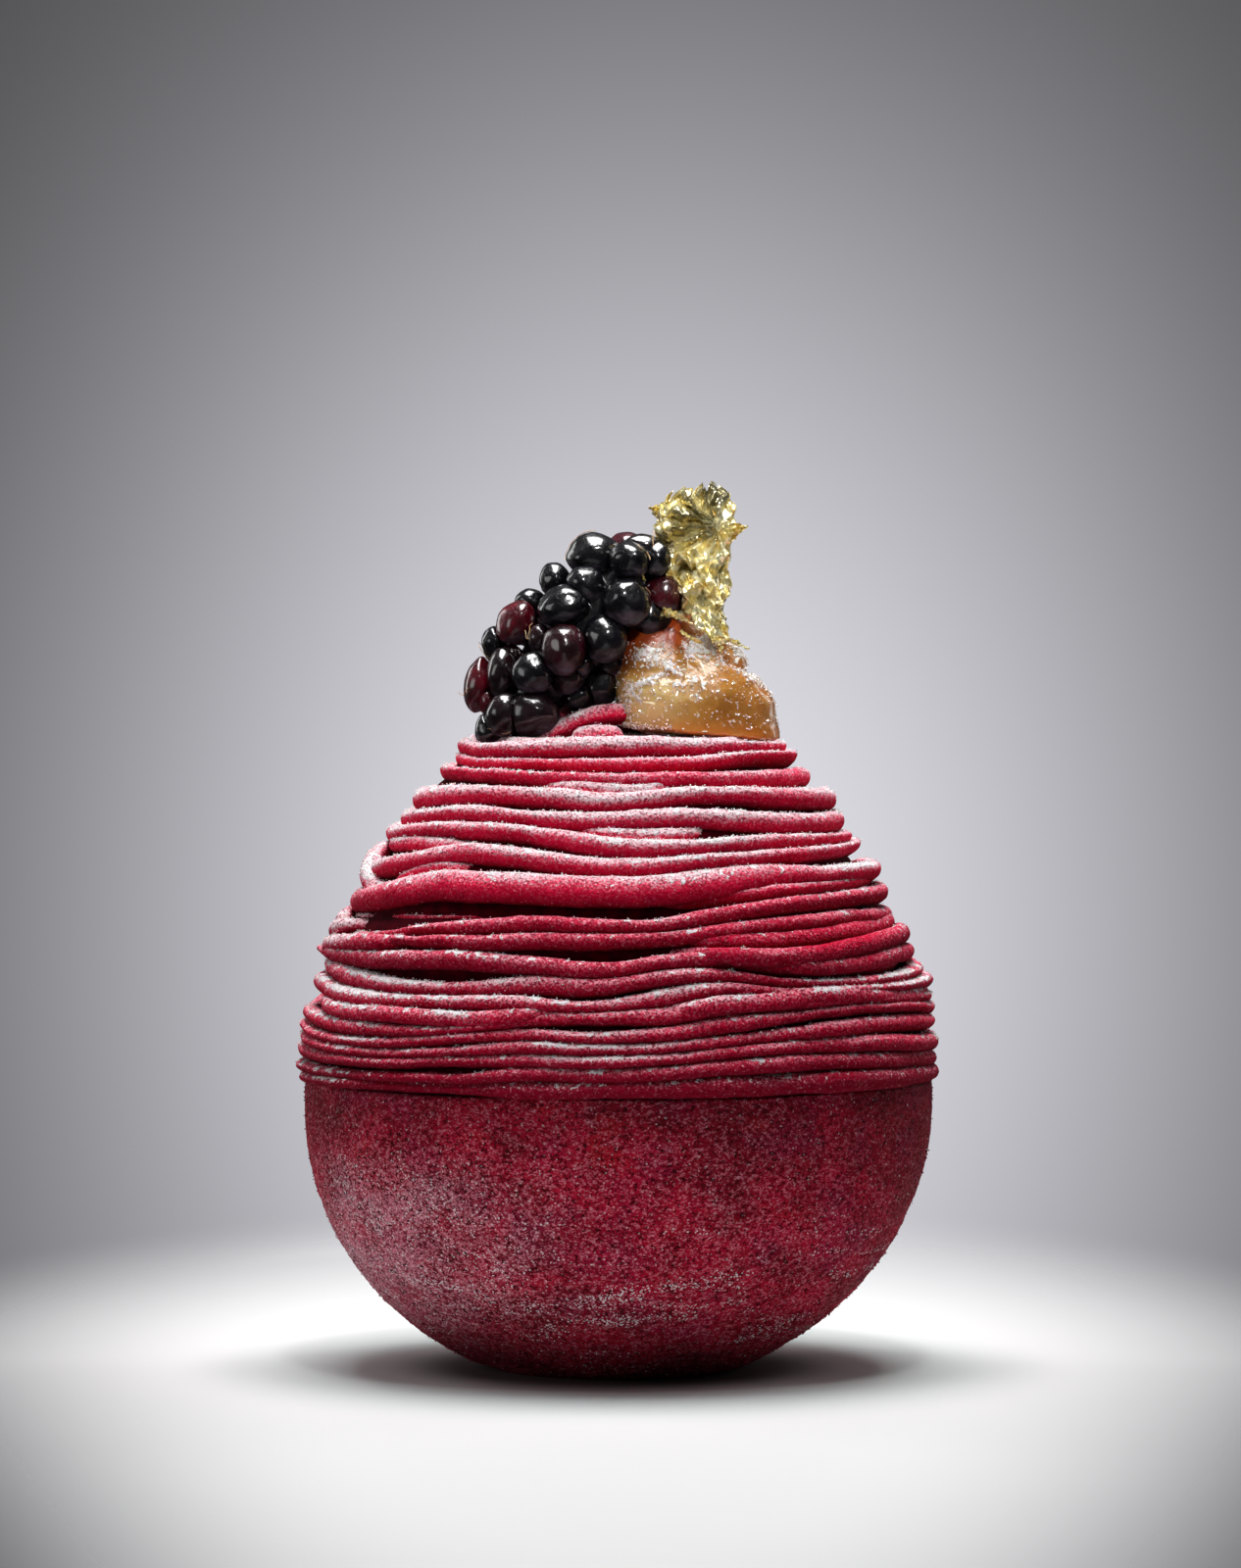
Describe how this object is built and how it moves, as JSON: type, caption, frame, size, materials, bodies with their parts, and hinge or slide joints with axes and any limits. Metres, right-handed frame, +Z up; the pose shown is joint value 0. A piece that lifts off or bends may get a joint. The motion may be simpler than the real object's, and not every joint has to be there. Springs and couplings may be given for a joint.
{
  "type": "pavlova",
  "caption": "Single-portion pavlova: a half-sphere meringue shell, strands of red-fruit cream wound into a tapering dome, and a bramble, candied chestnut and gold leaf on top.",
  "frame": {"origin": "middle of the flat foot that the shell rests on", "axes": "+Z up, -Y towards the viewer, the side where the bramble leans from lower left to upper right; +X towards the candied chestnut"},
  "size_m": [0.071, 0.0706, 0.099],
  "materials": {
    "meringue": "dry and crumbly, coated in fine crimson berry powder",
    "cream": "velvety crimson cream, dusted with icing sugar on its upper faces",
    "bramble": "glossy near-black fruit skin",
    "candied_chestnut": "translucent amber under a wet sugar glaze",
    "gold_leaf": "bright crumpled foil"
  },
  "bodies": {
    "root": {"meringue_shell": "meringue", "cream_strands": "cream", "bramble": "bramble", "candied_chestnut": "candied_chestnut", "gold_leaf": "gold_leaf"}
  },
  "joints": []
}
